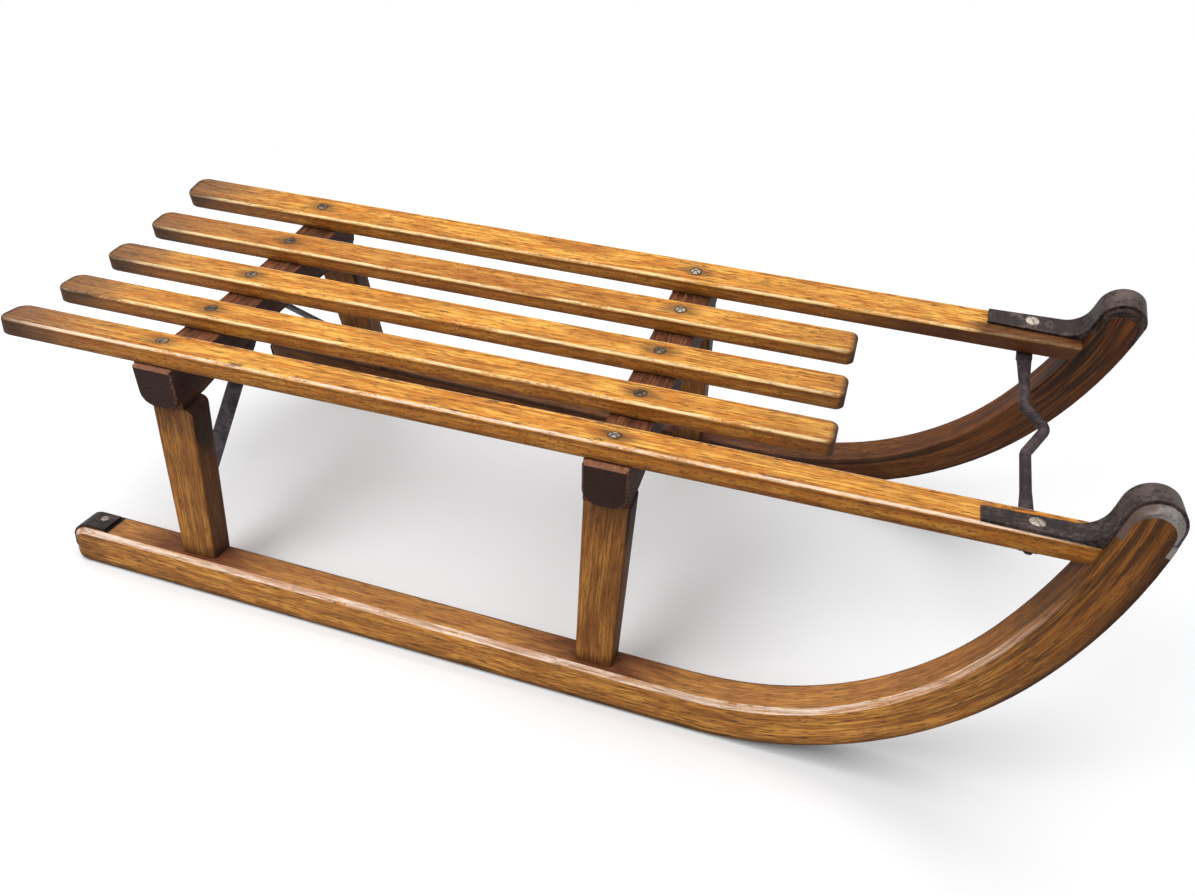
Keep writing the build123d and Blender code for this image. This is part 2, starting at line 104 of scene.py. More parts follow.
class Value:
    """A number that varies over a surface. Arithmetic on it adds Math nodes."""

    def __init__(self, finish, socket):
        self.finish = finish
        self.socket = socket

    def math(self, operation, *values):
        return self.finish.value("ShaderNodeMath", {"operation": operation}, dict(enumerate(values)))

    def __add__(self, other):
        return self.math("ADD", self, other)

    def __radd__(self, other):
        return self.math("ADD", other, self)

    def __sub__(self, other):
        return self.math("SUBTRACT", self, other)

    def __rsub__(self, other):
        return self.math("SUBTRACT", other, self)

    def __mul__(self, other):
        return self.math("MULTIPLY", self, other)

    def __rmul__(self, other):
        return self.math("MULTIPLY", other, self)

    def __pow__(self, other):
        return self.math("POWER", self, other)

    def __abs__(self):
        return self.math("ABSOLUTE", self)

    def root(self):
        return self.math("SQRT", self)

    def sine(self):
        return self.math("SINE", self)

    def least(self, other):
        return self.math("MINIMUM", self, other)

    def most(self, other):
        return self.math("MAXIMUM", self, other)

    def rise(self, low, high):
        """0 below low, 1 above high and a smooth step between."""
        settings = {"interpolation_type": "SMOOTHSTEP"}
        sockets = {"Value": self, "From Min": low, "From Max": high}
        return self.finish.value("ShaderNodeMapRange", settings, sockets)

    def fall(self, low, high):
        """1 below low, 0 above high and a smooth step between."""
        return 1 - self.rise(low, high)


class Tree:
    """A node tree in the making, of a material or of the world."""

    def __init__(self, tree):
        self.tree = tree

    def node(self, kind, settings, sockets):
        made = self.tree.nodes.new(kind)
        for name, value in settings.items():
            setattr(made, name, value)
        for key, value in sockets.items():
            self.feed(made.inputs[key], value)
        return made

    def feed(self, socket, value):
        if isinstance(value, Value):
            value = value.socket
        if isinstance(value, bpy.types.NodeSocket):
            self.tree.links.new(value, socket)
        else:
            socket.default_value = value

    def value(self, kind, settings, sockets):
        return Value(self, self.node(kind, settings, sockets).outputs[0])


class Finish(Tree):
    """A material in the making. Places are in millimetres in the sled's frame."""

    def __init__(self, name, **uniform):
        self.material = bpy.data.materials.new(name)
        self.material.use_nodes = True
        super().__init__(self.material.node_tree)
        self.shader = self.tree.nodes["Principled BSDF"]
        for socket, value in uniform.items():
            self.shader.inputs[socket.replace("_", " ")].default_value = value
        coordinates = self.node("ShaderNodeTexCoord", {}, {})
        sockets = {0: coordinates.outputs["Object"], "Scale": 1000.0}
        scaled = self.node("ShaderNodeVectorMath", {"operation": "SCALE"}, sockets)
        self.point = scaled.outputs[0]
        self.normal = self.node("ShaderNodeNewGeometry", {}, {}).outputs["Normal"]

    def along(self, direction, origin=(0, 0, 0)):
        """Distance from origin, in metres, along a direction, in millimetres."""
        sockets = {0: self.point, 1: tuple(direction)}
        dot = self.node("ShaderNodeVectorMath", {"operation": "DOT_PRODUCT"}, sockets)
        return Value(self, dot.outputs["Value"]) - 1000 * Vector(origin).dot(Vector(direction))

    def facing(self, direction):
        """How far the surface faces a direction, 1 where it is square to it."""
        sockets = {0: self.normal, 1: tuple(direction)}
        dot = self.node("ShaderNodeVectorMath", {"operation": "DOT_PRODUCT"}, sockets)
        return Value(self, dot.outputs["Value"])

    def vector(self, x, y, z):
        return self.node("ShaderNodeCombineXYZ", {}, {0: x, 1: y, 2: z}).outputs[0]

    def corner(self, reach):
        """How deep a place lies in a corner between pieces, 0 in the open."""
        made = self.node("ShaderNodeAmbientOcclusion", {"samples": 6}, {"Distance": reach})
        return 1 - Value(self, made.outputs["AO"])

    def noise(self, place, scale=1.0, detail=2.0, roughness=0.5, distortion=0.0):
        sockets = {"Vector": place, "Scale": scale, "Detail": detail}
        sockets.update({"Roughness": roughness, "Distortion": distortion})
        return self.value("ShaderNodeTexNoise", {}, sockets)

    def mix(self, factor, first, second, blend="MIX"):
        settings = {"data_type": "RGBA", "blend_type": blend}
        return self.node("ShaderNodeMix", settings, {0: factor, 6: first, 7: second}).outputs[2]

    def put(self, colour, roughness, height=None, depth=0.001, metallic=None):
        self.feed(self.shader.inputs["Base Color"], colour)
        self.feed(self.shader.inputs["Roughness"], roughness)
        if metallic is not None:
            self.feed(self.shader.inputs["Metallic"], metallic)
        if height is not None:
            bump = self.node("ShaderNodeBump", {}, {"Height": height, "Distance": depth})
            self.feed(self.shader.inputs["Normal"], bump.outputs[0])
        return self.material


class Grain:
    """The figure of a piece of wood: its fibres run along s, and v and h are square to them.

    From broad to fine it has clouds, bands, mottling, streaks, fibres, pores and specks.
    """

    def __init__(self, finish, s, v, h, seed):
        self.finish = finish
        at, noise = finish.vector, finish.noise
        wander = noise(at(s * 0.005 + seed, v * 0.015, h * 0.015), detail=2.0) - 0.5
        v = v + wander * 14
        h = h + wander * 9
        self.cloud = noise(at(s * 0.012, v * 0.05 + seed, h * 0.05), detail=3.0, distortion=0.5)
        self.mottle = noise(at(s * 0.030, v * 0.17, h * 0.17 + seed), detail=4.0, roughness=0.62)
        self.band = noise(at(s * 0.006 + seed, v * 0.20, h * 0.20), detail=3.0, roughness=0.6)
        self.streak = noise(at(s * 0.011 + seed, v * 0.42, h * 0.42), detail=4.0, roughness=0.58)
        self.fibre = noise(at(s * 0.018, v * 0.90, h * 0.90 + seed), detail=4.0, roughness=0.62)
        self.pore = noise(at(s * 0.070, v * 1.00 + seed, h * 1.00), detail=2.0, roughness=0.6)
        self.speck = noise(at(s * 0.30, v * 0.5, h * 0.5 + seed), detail=3.0, roughness=0.7)
        self.line = (self.streak * 0.5 + self.fibre * 0.5).rise(0.46, 0.62)


def wood_colour(grain, light, middle, deep, dark, pores=0.75):
    """Figured colour of oiled wood, from its palest to its darkest tone."""
    finish = grain.finish
    colour = finish.mix(grain.mottle.rise(0.42, 0.60), light, middle)
    colour = finish.mix(grain.cloud.rise(0.46, 0.66) * 0.55, colour, deep)
    colour = finish.mix(grain.band.rise(0.50, 0.62) * 0.5, colour, deep)
    colour = finish.mix(grain.streak.rise(0.49, 0.62) * 0.55, colour, deep)
    colour = finish.mix(grain.fibre.rise(0.50, 0.64) * 0.5, colour, deep)
    colour = finish.mix(grain.fibre.fall(0.36, 0.46) * 0.22, colour, light)
    return finish.mix(grain.pore.rise(0.56, 0.66) * pores, colour, dark)


def oiled(name):
    """Bare wood rubbed with oil, with a dull sheen."""
    return Finish(name, IOR=1.42, Specular_IOR_Level=0.32)


def relief(grain, lines, pores, specks):
    """Height of the figure: its lines and pores lie low, and its specks stand up."""
    return grain.line * -lines - grain.pore.rise(0.56, 0.66) * pores + grain.speck * specks


def corner_dirt_and_shade(grain, colour, strength=0.85):
    """Dirt and painted shade in the corners where pieces meet, darkest where ambient occlusion is deepest.
    """
    corner = grain.finish.corner(0.030)
    dirt_and_shade = (corner + (grain.mottle - 0.5) * 0.6).rise(0.30, 0.78)
    return grain.finish.mix(dirt_and_shade * strength, colour, paint("2A1509"))


def seat_wood(
    name, origin, across, up, rear, front, half_width, thickness, screws, seed, handled,
    nicked=0.0, shade=0.0, redness=0.0,
):
    """Honey-coloured slat or rail with worn arrises that carry a painted highlight, dirty ends and dark
    stains round its screws.

    A rail butts against its horn, so it has no free front end and its front is None.
    """
    finish = oiled(name)
    s = finish.along(lengthwise(across, up))
    v = finish.along(across, origin)
    h = finish.along(up, origin)
    grain = Grain(finish, s, v, h, seed)
    colour = wood_colour(grain, paint("F2B450"), paint("DB8F30"), paint("A85E17"), paint("582B0B"))
    colour = finish.mix(s.fall(-40, 160) * redness, colour, paint("92501C"))
    top = h * -1
    upward = finish.facing(up)
    end = s - rear if front is None else (s - rear).least(front - s)

    # The sides are redder and darker than the top, most of all low down
    on_side = upward.fall(0.2, 0.6)
    colour = finish.mix(on_side * 0.5, colour, paint("A8621F"))
    # Painted shade: with shade, the side and the strip beside the plate darken toward the front
    beside_plate = v.fall(-5, -2) * s.rise(345, 375)
    shaded = on_side.most(beside_plate) * s.rise(180, 330) * shade
    colour = finish.mix(shaded, colour, paint("4A230D"))
    low = (top + (grain.mottle - 0.5) * 10).rise(thickness * 0.5, thickness * 0.98)
    colour = finish.mix(on_side * low * 0.66, colour, paint("562D0C"))
    colour = finish.mix(on_side * grain.speck.rise(0.53, 0.66) * 0.6, colour, paint("45230C"))

    # Pale arrises, worn and with a painted highlight on their upward rounding, with a broken brown line
    # beside them
    arris = upward.rise(0.35, 0.6) * upward.fall(0.955, 0.992) * top.fall(3.5, 4.5)
    worn_and_highlight = arris * (grain.speck * 0.3 + grain.cloud * 0.7).rise(0.38, 0.53)
    under = on_side * top.rise(2.2, 3.0) * top.fall(4.0, 6.5)
    edge = half_width - abs(v)
    beside = edge.rise(3.6, 4.6) * edge.fall(5.0, 8.0) * upward.rise(0.9, 0.98)
    colour = finish.mix(under * 0.5, colour, paint("63340F"))
    colour = finish.mix(beside * grain.streak.rise(0.42, 0.6) * 0.6, colour, paint("97581C"))
    nick = finish.noise(finish.vector(s * 0.075, v * 0.16, seed), detail=3.0, roughness=0.65)
    nicks = nick.rise(0.55, 0.60) * edge.fall(4.5, 8.0) * upward.rise(0.45, 0.7)
    colour = finish.mix(nicks * nicked, colour, paint("4A2A16"))

    # Dark stains round the screws, darkest where the heads are let in
    stain = None
    for screw_s, screw_v in screws:
        reach = (((s - screw_s) * 0.55) ** 2 + (v - screw_v) ** 2).root() + (grain.mottle - 0.5) * 14
        away = ((s - screw_s) ** 2 + (v - screw_v) ** 2).root() + (grain.speck - 0.5) * 3.5
        ring = away.fall(stain_radius * 0.8, stain_radius)
        spot = (reach.fall(stain_radius * 0.6, stain_radius * 1.9) * 0.62).most(ring)
        stain = spot if stain is None else stain.most(spot)
    colour = finish.mix(stain * upward.rise(0.8, 0.95) * 0.93, colour, paint("3F2814"))

    # Ends handled dark, most of all at the rear, with end grain that drank in dirt
    rearward = s.fall(-20, 20)
    dirt = (end + (grain.cloud - 0.5) * 110 + (grain.mottle - 0.5) * 50).fall(4, 30 + 80 * handled ** 2)
    dirt = dirt * (rearward * 0.7 + 0.3) * handled
    hands = finish.mix(grain.streak.rise(0.42, 0.58), paint("85603F"), paint("4E3324"))
    colour = finish.mix(dirt, colour, hands)
    tired = (end + (grain.cloud - 0.5) * 120 + (grain.mottle - 0.5) * 40).fall(20, 180)
    colour = finish.mix(tired * rearward * 0.8 * handled ** 3, colour, paint("85593A"))
    dirty_edge = dirt * (edge + (grain.speck - 0.5) * 4).fall(1.0, 5.5)
    cut = (end + (grain.speck - 0.5) * 5).fall(1.0, 8.5).most(dirty_edge)
    colour = finish.mix(cut * 0.85, colour, paint("33231B"))
    # The arrises' pale wear and painted highlight fade off at the ends and where shade is painted
    worn_and_highlight = worn_and_highlight * (1 - shaded * 0.9) * (end + (grain.speck - 0.5) * 8).rise(2, 14)
    pale = paint("FFDFC4") if nicked else paint("FFE3AC")
    colour = finish.mix(worn_and_highlight * 0.85, colour, finish.mix(dirt.most(cut), pale, paint("7A5E46")))
    # Dirt and painted shade in the corners
    colour = corner_dirt_and_shade(grain, colour, 0.6)

    roughness = 0.40 + grain.mottle * 0.16 + dirt * 0.12 + stain * 0.1
    return finish.put(colour, roughness, relief(grain, 0.5, 0.7, 0.25) - worn_and_highlight * 0.2, 0.0006)


def runner_wood(name, side, seed, shade):
    """Bent plank whose grain follows the bend, with a pale bevel along its outer top rim, worn and with a
    painted highlight.
    """
    finish = oiled(name)
    upward, outward = runner_axes(side)
    foot = Vector((sole_bend, side * half_track, 0))
    x = finish.along(ahead, foot)
    u = finish.along(upward, foot)
    w = finish.along(outward, foot)

    # s runs along the plank and t up from its lower edge, straight, then round its two bends
    shoe_thickness = 2.5
    bends = (
        # radius, turn in degrees, centre along and above the sole
        (305.0, 60.0, 0.0, 307.5),
        (410.0, 21.1, -90.93, 360.0),
    )
    s = x
    t = u - shoe_thickness
    start = 0.0
    turned = 0.0
    for radius, turn, centre_x, centre_u in bends:
        dx = x - centre_x
        du = centre_u - u
        angle = finish.value("ShaderNodeMath", {"operation": "ARCTAN2"}, {0: dx, 1: du})
        beyond = angle.rise(math.radians(turned), math.radians(turned) + 0.001) * x.rise(0.0, 0.5)
        bend_s = (angle - math.radians(turned)) * radius + start
        bend_t = radius - (dx ** 2 + du ** 2).root()
        s = bend_s * beyond + s * (1 - beyond)
        t = bend_t * beyond + t * (1 - beyond)
        start += radius * math.radians(turn)
        turned += turn
    grain = Grain(finish, s, t, w, seed)
    colour = wood_colour(grain, paint("F0AA50"), paint("D28A3E"), paint("965923"), paint("42230D"))
    out = finish.facing(outward)
    # Painted shade: with shade, the faces turned away from outward are darkened
    colour = finish.mix(out.fall(0.3, 0.7) * shade, colour, paint("958681"), "MULTIPLY")
    on_bevel = out.rise(0.35, 0.55) * out.fall(0.8, 0.92)

    # The top is redder than the outer face, with painted shade on it when shaded, and stained round the
    # feet of the legs
    on_top = abs(out).fall(0.2, 0.4) * t.rise(18, 27)
    colour = finish.mix(on_top * 0.5, colour, paint("B27B4C") if shade == 0 else paint("6A3D22"))
    for leg_s in (-498, -92):
        stain = (abs(s - leg_s) + (grain.cloud - 0.5) * 110 + (grain.mottle - 0.5) * 40).fall(14, 82)
        colour = finish.mix(stain * on_top * 0.85, colour, paint("65301A"))

    # The outer face darkens at the tail, toward the shoe and up the horn
    tail = (s + (grain.cloud - 0.5) * 50).fall(-628, -585)
    colour = finish.mix(tail * (0.5 + on_top * 0.3), colour, paint("54301F"))
    rim = t.rise(28, 31) * w.fall(-16.2, -13.6)
    colour = finish.mix(rim * 0.75, colour, paint("2E1608"))
    low = (t + w * 0.15 + (grain.cloud - 0.5) * 10).fall(0.5, 6.0)
    colour = finish.mix(low * 0.8, colour, paint("2E170A"))
    climbing = s.rise(120, 430)
    bold = (grain.band * 0.6 + grain.streak * 0.4).rise(0.44, 0.56)
    colour = finish.mix(climbing * 0.82, colour, finish.mix(bold, paint("82460F"), paint("301506")))
    horn_front = s.rise(200, 430) * (t + (grain.band - 0.5) * 20).fall(2, 15)
    colour = finish.mix(horn_front * 0.6, colour, paint("351806"))

    # A dark gap where the shoe's hook ends, and the pale bevel, worn and with a painted highlight
    gap = on_top * s.rise(-604.0, -603.0) * s.fall(-599.5, -598.5)
    colour = finish.mix(gap, colour, paint("0C0807"))
    pale = finish.mix(grain.streak.rise(0.42, 0.60), paint("FFE6D2"), paint("E2AE88"))
    rubbed = (grain.speck * 0.35 + grain.mottle * 0.65).rise(0.34, 0.47)
    worn_and_highlight = on_bevel * t.rise(18, 25) * rubbed * s.fall(200, 430)
    colour = finish.mix(worn_and_highlight * 0.85, colour, pale)
    # Dirt and painted shade in the corners
    colour = corner_dirt_and_shade(grain, colour)
    roughness = 0.40 + grain.mottle * 0.18 - worn_and_highlight * 0.04
    return finish.put(colour, roughness, relief(grain, 0.6, 0.7, 0.3), 0.0007)


def leg_wood(name, foot, top, seed):
    """Golden-brown leg with upright grain, dark at its foot, with painted shade at its head under the beam
    and on its front.
    """
    finish = oiled(name)
    axis = (top - foot).normalized()
    thin = axis.cross(ahead).normalized()
    wide = thin.cross(axis)
    s = finish.along(axis, foot)
    v = finish.along(wide, foot)
    h = finish.along(thin, foot)
    grain = Grain(finish, s, v, h, seed)
    colour = wood_colour(grain, paint("BC8039"), paint("A4682F"), paint("7E4A1E"), paint("4A2911"), 0.42)
    length = (top - foot).length * 1000
    facing_ahead = finish.facing(ahead)
    shoulder = facing_ahead.rise(0.2, 0.6).most(finish.facing((0, 0, 1)).rise(0.2, 0.5))
    # Painted shade at the head under the beam, most on its front and top faces
    head_shade = (length - s + (grain.cloud - 0.5) * 60).fall(8, 46) * 0.6
    head_shade = head_shade.most((length - s + (grain.cloud - 0.5) * 90).fall(20, 64) * shoulder)
    ends = ((s + (grain.cloud - 0.5) * 30).fall(2, 14) * 0.6).most(head_shade)
    # Painted shade on the faces turned ahead
    colour = finish.mix(facing_ahead.rise(0.4, 0.9) * 0.72, colour, paint("47291A"))
    colour = finish.mix(ends * 0.9, colour, paint("26120A"))
    # Dirt and painted shade in the corners
    colour = corner_dirt_and_shade(grain, colour)
    roughness = 0.45 + grain.mottle * 0.18
    return finish.put(colour, roughness, relief(grain, 0.6, 0.7, 0.3), 0.0007)


def beam_wood(name, beam_x, seed):
    """Reddish-brown crossbeam with nearly black end grain and painted shade on the faces turned ahead."""
    finish = oiled(name)
    origin = seat_origin + seat_along * (beam_x - rear_beam)
    s = finish.along((0, 1, 0))
    v = finish.along(seat_along, origin)
    h = finish.along(seat_up, origin)
    grain = Grain(finish, s, v, h, seed)
    colour = wood_colour(grain, paint("8A5231"), paint("6A3C22"), paint("442616"), paint("20110A"))
    # Painted shade on the faces turned ahead
    front = finish.facing(ahead).rise(0.5, 0.9)
    colour = finish.mix(front * 0.75, colour, paint("2A160E"))

    # The noses' ledges carry a painted highlight on top, and their ends show rings and a painted highlight
    # along the rim
    nose = abs(s).rise(163.6, 167.8)
    upward = finish.facing(seat_up)
    ledge_highlight = abs(s).rise(150, 160) * upward.rise(0.5, 0.8)
    colour = finish.mix(ledge_highlight * 0.6, colour, paint("B98060"))
    nose_end = nose * upward.fall(0.3, 0.7)
    ring_radius = (v ** 2 + (h + 60 + (grain.cloud - 0.5) * 12) ** 2).root()
    ring = (ring_radius * 1.5 + grain.mottle * 5).sine() * 0.5 + 0.5
    colour = finish.mix(nose_end, colour, paint("3B2119"))
    colour = finish.mix(nose_end * ring * 0.5, colour, paint("22120E"))
    sideways = abs(finish.facing((0, 1, 0)))
    # Painted highlight along the rim of the nose's end
    rim = nose * sideways.rise(0.5, 0.62) * sideways.fall(0.8, 0.95)
    colour = finish.mix(rim * grain.speck.rise(0.4, 0.6) * 0.75, colour, paint("8E6550"))
    # Dirt and painted shade in the corners
    colour = corner_dirt_and_shade(grain, colour)
    roughness = 0.5 + grain.mottle * 0.2
    return finish.put(colour, roughness, relief(grain, 0.5, 0.6, 0.5), 0.0008)


def iron(
    name, dark, light, rust, roughness, metal=0.75, rubbed=0.0, shaded_behind=False, rubbed_horn_with_sheen=False,
):
    """Old forged iron, mottled, with rust in patches and brighter rubbed places.

    A cap shaded behind is brown at its rear end, a painted shade, and a strap rubbed over the horn is
    brighter there, with a painted sheen as well.
    """
    finish = Finish(name)
    place = finish.point
    patch = finish.noise(place, 0.05, detail=3.0, roughness=0.6, distortion=0.5)
    spot = finish.noise(place, 0.26, detail=6.0, roughness=0.72)
    pit = finish.noise(place, 0.9, detail=3.0, roughness=0.65)
    # Brighter over the horn's top: rubbed, and a painted sheen
    if rubbed_horn_with_sheen:
        rubbed = finish.along(ahead).rise(438, 472) * 0.9 - 0.35
    tone = (patch * 0.45 + spot * 0.55 + rubbed * 0.1).rise(0.44, 0.60)
    colour = finish.mix(tone, dark, light)
    rusty = (spot * 0.5 + pit * 0.5).rise(0.50, 0.62)
    colour = finish.mix(rusty * 0.7, colour, rust)
    # Painted shade in the corners where the iron meets other pieces
    corner = (finish.corner(0.012) + (spot - 0.5) * 0.4).rise(0.35, 0.8)
    colour = finish.mix(corner * 0.8, colour, paint("120C0A"))
    if shaded_behind:
        # Painted shade at the cap's rear end, brown and less metallic
        behind = (finish.along(ahead) + (patch - 0.5) * 30).fall(468, 488)
        colour = finish.mix(behind * 0.9, colour, paint("4B301F"))
        metal = metal * (1 - behind)
    roughness = roughness + spot * 0.22 + rusty * 0.12
    return finish.put(colour, roughness, spot * 0.8 + pit * 0.6, 0.0007, metallic=metal - rusty * 0.4)


def dress(node, material):
    """Gives a CAD piece its finish."""
    slots = nodes[node].data.materials
    slots.clear()
    slots.append(material)


# Seat: a screw's place is its x along the sled and its distance across, in millimetres, and
# on the pitched seat it lies a little farther along, by rear_rise or front_rise
stain_radius = 7.5
rear_rise, front_rise = 4.9, 5.4
slats = (
    # node, centre line, drop, tilt, rear screw, front screw, seed, redness
    ("slat_right", -0.07205, 0.0063, -3.4, (-333.7, -0.8), (87.2, -0.5), 3.1, 0.0),
    ("slat_middle", 0.0, 0.0078, 0.0, (-335.7, -0.9), (85.3, 0.3), 7.7, 0.0),
    ("slat_left", 0.07205, 0.0063, 3.4, (-335.0, 0.1), (86.5, 2.0), 12.4, 0.35),
)
rails = (
    # node, side, rear screw, front screw, seed, handled, nicked, shade
    ("side_rail_right", -1, (-335.9, -0.6), (85.1, 1.1), 21.3, 0.9, 0.75, 0.0),
    ("side_rail_left", 1, (-335.6, 0.8), (85.1, -0.9), 30.9, 0.85, 0.0, 0.9),
)


def screw_spots(rear_screw, front_screw):
    """The screws' places along and across the pitched seat."""
    return [(rear_screw[0] + rear_rise, rear_screw[1]), (front_screw[0] + front_rise, front_screw[1])]


bench_screws = []
for node, y, drop, tilt, rear_screw, front_screw, seed, redness in slats:
    across, up = slat_axes(tilt)
    origin = seat_origin + Vector((0, y, 0)) - seat_up * drop
    material = seat_wood(
        node + "_wood", origin, across, up, rear=-492.5, front=261.0, half_width=17.5, thickness=16.0,
        screws=screw_spots(rear_screw, front_screw), seed=seed, handled=0.82, redness=redness,
    )
    dress(node, material)
    bench_screws += [(node, origin, across, up, place) for place in (rear_screw, front_screw)]
for node, side, rear_screw, front_screw, seed, handled, nicked, shade in rails:
    across, up = rail_axes(side)
    origin = rail_origin(side)
    material = seat_wood(
        node + "_wood", origin, across, up, rear=-494.5, front=None, half_width=18.0, thickness=17.0,
        screws=screw_spots(rear_screw, front_screw), seed=seed, handled=handled, nicked=nicked, shade=shade,
    )
    dress(node, material)
    bench_screws += [(node, origin, across, up, place) for place in (rear_screw, front_screw)]

# Frame: the left runner shows its shaded inner side in the photo
for side, word, shade in ((-1, "right", 0.0), (1, "left", 1.0)):
    dress("runner_" + word, runner_wood("runner_" + word + "_wood", side, 5.0 + side, shade))
    for bench, beam_x, top_x, top_z, foot_x, stay_x in benches:
        top = Vector((top_x, side * leg_top_y, top_z))
        foot = Vector((foot_x, side * leg_foot_y, leg_foot_z))
        node = "leg_" + bench + "_" + word
        dress(node, leg_wood(node + "_wood", foot, top, 9.0 + 2 * side + 10 * top_x))
dress("crossbeam_rear", beam_wood("crossbeam_rear_wood", rear_beam, 2.2))
dress("crossbeam_front", beam_wood("crossbeam_front_wood", front_beam, 4.6))

# Iron
strap_iron = iron(
    "strap_iron", paint("2B2221"), paint("625350"), paint("40281F"), 0.30, rubbed_horn_with_sheen=True,
)
cap_iron = iron(
    "cap_iron", paint("5E5654"), paint("A8A09C"), paint("54443A"), 0.36, rubbed=0.8, shaded_behind=True,
)
# The left horn's cap, darker and browner all over: painted shade
dark_cap_iron = iron("dark_cap_iron", paint("33241F"), paint("5F4C44"), paint("331E14"), 0.42)
rod_iron = iron("rod_iron", paint("32282A"), paint("574A4C"), paint("38241E"), 0.5)
stay_iron = iron("stay_iron", paint("4A464C"), paint("78727A"), paint("4A3A36"), 0.5)
for word in ("right", "left"):
    dress("shoe_" + word, strap_iron)
dress("horn_cap_right", cap_iron)
dress("horn_cap_left", dark_cap_iron)
dress("stay_rear", stay_iron)
dress("stay_front", stay_iron)
dress("tow_bar", rod_iron)


# Fasteners
def mesh_piece(name, mesh, material):
    """A new piece of the sled that rides with it."""
    data = bpy.data.meshes.new(name)
    mesh.to_mesh(data)
    mesh.free()
    piece = bpy.data.objects.new(name, data)
    bpy.context.scene.collection.objects.link(piece)
    data.materials.append(material)
    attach(piece, "root")
    return piece


def screw_head(name, place, up, along, radius, dome, slots, slot_width, turn, material):
    """Screw head, a low dome with one slot or two crossed ones, in a fine disc of rings."""
    mesh = bmesh.new()
    side = up.cross(along).normalized()
    rings, spokes = 14, 72
    slot_depth, slot_reach, skirt = slot_width * 0.7, radius * 0.94, 0.0012
    slot_angles = [turn + k * 1.45 for k in range(slots)]
    rows = []
    for i in range(rings + 1):
        r = radius * i / rings
        row = []
        for j in range(spokes if i else 1):
            a = 2 * math.pi * j / spokes
            x, y = r * math.cos(a), r * math.sin(a)
            z = dome * (1 - (r / radius) ** 2)
            in_slot = any(abs(x * math.sin(b) - y * math.cos(b)) < slot_width / 2 for b in slot_angles)
            if in_slot and r < slot_reach:
                z -= slot_depth
            row.append(mesh.verts.new(place + along * x + side * y + up * z))
        rows.append(row)
    rim = [mesh.verts.new(vertex.co - up * skirt) for vertex in rows[-1]]
    for j in range(spokes):
        k = (j + 1) % spokes
        mesh.faces.new((rows[0][0], rows[1][j], rows[1][k]))
        for i in range(1, rings):
            mesh.faces.new((rows[i][j], rows[i + 1][j], rows[i + 1][k], rows[i][k]))
        mesh.faces.new((rows[-1][j], rim[j], rim[k], rows[-1][k]))
    return mesh_piece(name, mesh, material)


def bolt_head(name, place, up, along, radius, height, material):
    """Six-sided bolt head or nut with a bevelled rim, sunk a little into what it holds."""
    mesh = bmesh.new()
    side = up.cross(along).normalized()
    sunk = 0.0008
    rows = []
    for r, z in ((radius, -sunk), (radius, height * 0.75), (radius * 0.82, height)):
        row = []
        for j in range(6):
            a = math.pi * j / 3
            x, y = r * math.cos(a), r * math.sin(a)
            row.append(mesh.verts.new(place + along * x + side * y + up * z))
        rows.append(row)
    for low, high in zip(rows, rows[1:]):
        for j in range(6):
            k = (j + 1) % 6
            mesh.faces.new((low[j], low[k], high[k], high[j]))
    mesh.faces.new(rows[-1])
    return mesh_piece(name, mesh, material)


screw_iron = iron("screw_iron", paint("4A4038"), paint("95897A"), paint("40301F"), 0.42, metal=0.6)
pale_screw_iron = iron(
    "pale_screw_iron", paint("7C7166"), paint("C2B7A8"), paint("5F4C3B"), 0.42, metal=0.5, rubbed=0.2,
)
slot_width = 0.0012
bright_screws = (("side_rail_right", "front"), ("slat_left", "front"), ("side_rail_left", "front"))
for count, (node, origin, across, up, (screw_x, screw_v)) in enumerate(bench_screws):
    bench = "rear" if screw_x < 0 else "front"
    screw_head(
        "screw_" + node + "_" + bench, place_on(origin, across, up, screw_x / 1000, screw_v / 1000, 0.0002),
        up, lengthwise(across, up), radius=0.0047, dome=0.0007, slots=1 + count % 2, slot_width=slot_width,
        turn=count * 0.8, material=pale_screw_iron if (node, bench) in bright_screws else screw_iron,
    )

for side, word, plate_v in ((-1, "right", 0.0046), (1, "left", 0.0080)):
    # The shoe's plate on the rail, and the nut of the tow bar under the rail
    across, up = rail_axes(side)
    along = lengthwise(across, up)
    origin = rail_origin(side)
    place = place_on(origin, across, up, plate_screw_x, plate_v, 0.0026)
    screw_head(
        "plate_screw_" + word, place, up, along, radius=0.0060, dome=0.0008, slots=1, slot_width=0.0008,
        turn=1.9, material=pale_screw_iron,
    )
    place = place_on(origin, across, up, plate_screw_x, 0.0050, -0.0215)
    bolt_head("tow_bar_nut_" + word, place, -up, along, radius=0.0042, height=0.0032, material=rod_iron)

    # The shoe's end over the runner's tail
    upward, outward = runner_axes(side)
    place = Vector((tail_screw_x, side * half_track, 0)) + upward * 0.0386 - outward * 0.0045
    screw_head(
        "tail_screw_" + word, place, upward, ahead, radius=0.0040, dome=0.0007, slots=1,
        slot_width=slot_width, turn=0.5, material=pale_screw_iron,
    )

    # The stays, bolted to the legs' feet and up under the crossbeams
    for bench, beam_x, top_x, top_z, foot_x, stay_x in benches:
        rise = Vector((0, side * (leg_top_y - leg_foot_y), top_z - leg_foot_z)).normalized()
        inward = Vector((0, -side * rise.z, side * rise.y))
        place = Vector((stay_x, side * leg_foot_y, leg_foot_z)) + rise * 0.031 + inward * 0.0166
        bolt_head(
            "stay_bolt_" + bench + "_" + word, place, inward, rise, radius=0.0050, height=0.0035,
            material=stay_iron,
        )
        place = seat_origin + seat_along * (stay_x - rear_beam) - seat_up * 0.0541
        place = place + Vector((0, side * 0.014, 0))
        screw_head(
            "stay_screw_" + bench + "_" + word, place, -seat_up, seat_along, radius=0.0045, dome=0.0007,
            slots=1, slot_width=slot_width, turn=0.4, material=screw_iron,
        )


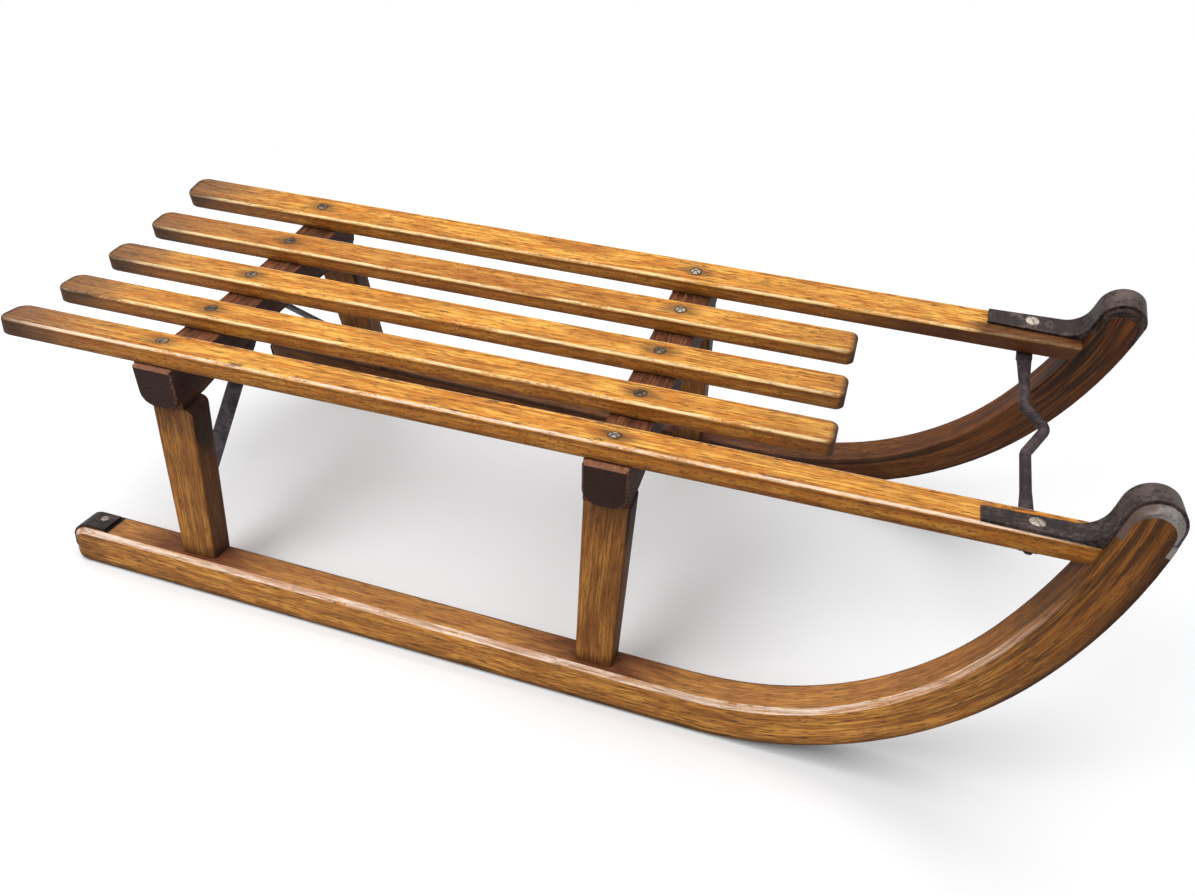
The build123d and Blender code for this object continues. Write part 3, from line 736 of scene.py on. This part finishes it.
# Floor, light and camera
floor_reach = 40.0
floor_mesh = bpy.data.meshes.new("studio_floor")
corners = [(x * floor_reach, y * floor_reach, 0) for x, y in ((-1, -1), (1, -1), (1, 1), (-1, 1))]
floor_mesh.from_pydata(corners, [], [(0, 1, 2, 3)])
floor = bpy.data.objects.new("studio_floor", floor_mesh)
bpy.context.scene.collection.objects.link(floor)

# The camera sees a pale floor with the sled's shadow, which turns pure white away from the sled
floor_finish = Finish("studio_floor_paint", Roughness=1.0, Specular_IOR_Level=0.0, Emission_Strength=1.0)
seen = floor_finish.value("ShaderNodeLightPath", {}, {})
black = (0, 0, 0, 1)
white = (1, 1, 1, 1)
away = (floor_finish.along(ahead) ** 2 * 0.6 + floor_finish.along((0, 1, 0)) ** 2).root()
bare = away.rise(420, 900) * seen
floor_colour = floor_finish.mix(seen, (0.6, 0.6, 0.6, 1), (0.95, 0.955, 0.965, 1))
floor_finish.put(floor_finish.mix(bare, floor_colour, black), 1.0)
floor_finish.feed(floor_finish.shader.inputs["Emission Color"], floor_finish.mix(bare, black, white))
floor_mesh.materials.append(floor_finish.material)

world = bpy.data.worlds.new("studio")
bpy.context.scene.world = world
world.use_nodes = True
sky = Tree(world.node_tree)
path = sky.node("ShaderNodeLightPath", {}, {})
backdrop = Value(sky, path.outputs["Is Camera Ray"])
mirrored = Value(sky, path.outputs["Is Glossy Ray"])
background = sky.tree.nodes["Background"]
background.inputs["Color"].default_value = white
sky.feed(background.inputs["Strength"], backdrop * 0.65 + mirrored * 0.3 + 0.35)


def softbox(name, place, width, height, watts):
    """Rectangular lamp turned toward the middle of the sled."""
    data = bpy.data.lights.new(name, "AREA")
    data.shape = "RECTANGLE"
    data.size = width
    data.size_y = height
    data.energy = watts
    lamp = bpy.data.objects.new(name, data)
    bpy.context.scene.collection.objects.link(lamp)
    lamp.location = place
    lamp.rotation_mode = "QUATERNION"
    lamp.rotation_quaternion = (Vector((0, 0, 0.1)) - Vector(place)).to_track_quat("-Z", "Y")


softbox("overhead_softbox", (-0.2, 0.4, 2.4), width=2.9, height=2.3, watts=59)
softbox("side_softbox", (-1.0, -1.25, 1.75), width=1.2, height=0.9, watts=20)

# The camera fitted to the photo
camera_data = bpy.data.cameras.new("camera")
camera_data.sensor_fit = "HORIZONTAL"
camera_data.sensor_width = 36.0
camera_data.lens = 31.532
camera_data.clip_start = 0.01
camera = bpy.data.objects.new("camera", camera_data)
bpy.context.scene.collection.objects.link(camera)
right = Vector((0.95320562, 0.29938956, 0.04201128)).normalized()
view = Vector((-0.20861432, 0.75194352, -0.62534871)).normalized()
upright = right.cross(view)
turn = Matrix((right, upright, -view)).transposed()
camera.location = (0.249676, -0.785417, 0.777563)
camera.rotation_mode = "QUATERNION"
camera.rotation_quaternion = turn.to_quaternion()
bpy.context.scene.camera = camera

bpy.context.scene.view_settings.view_transform = "Standard"
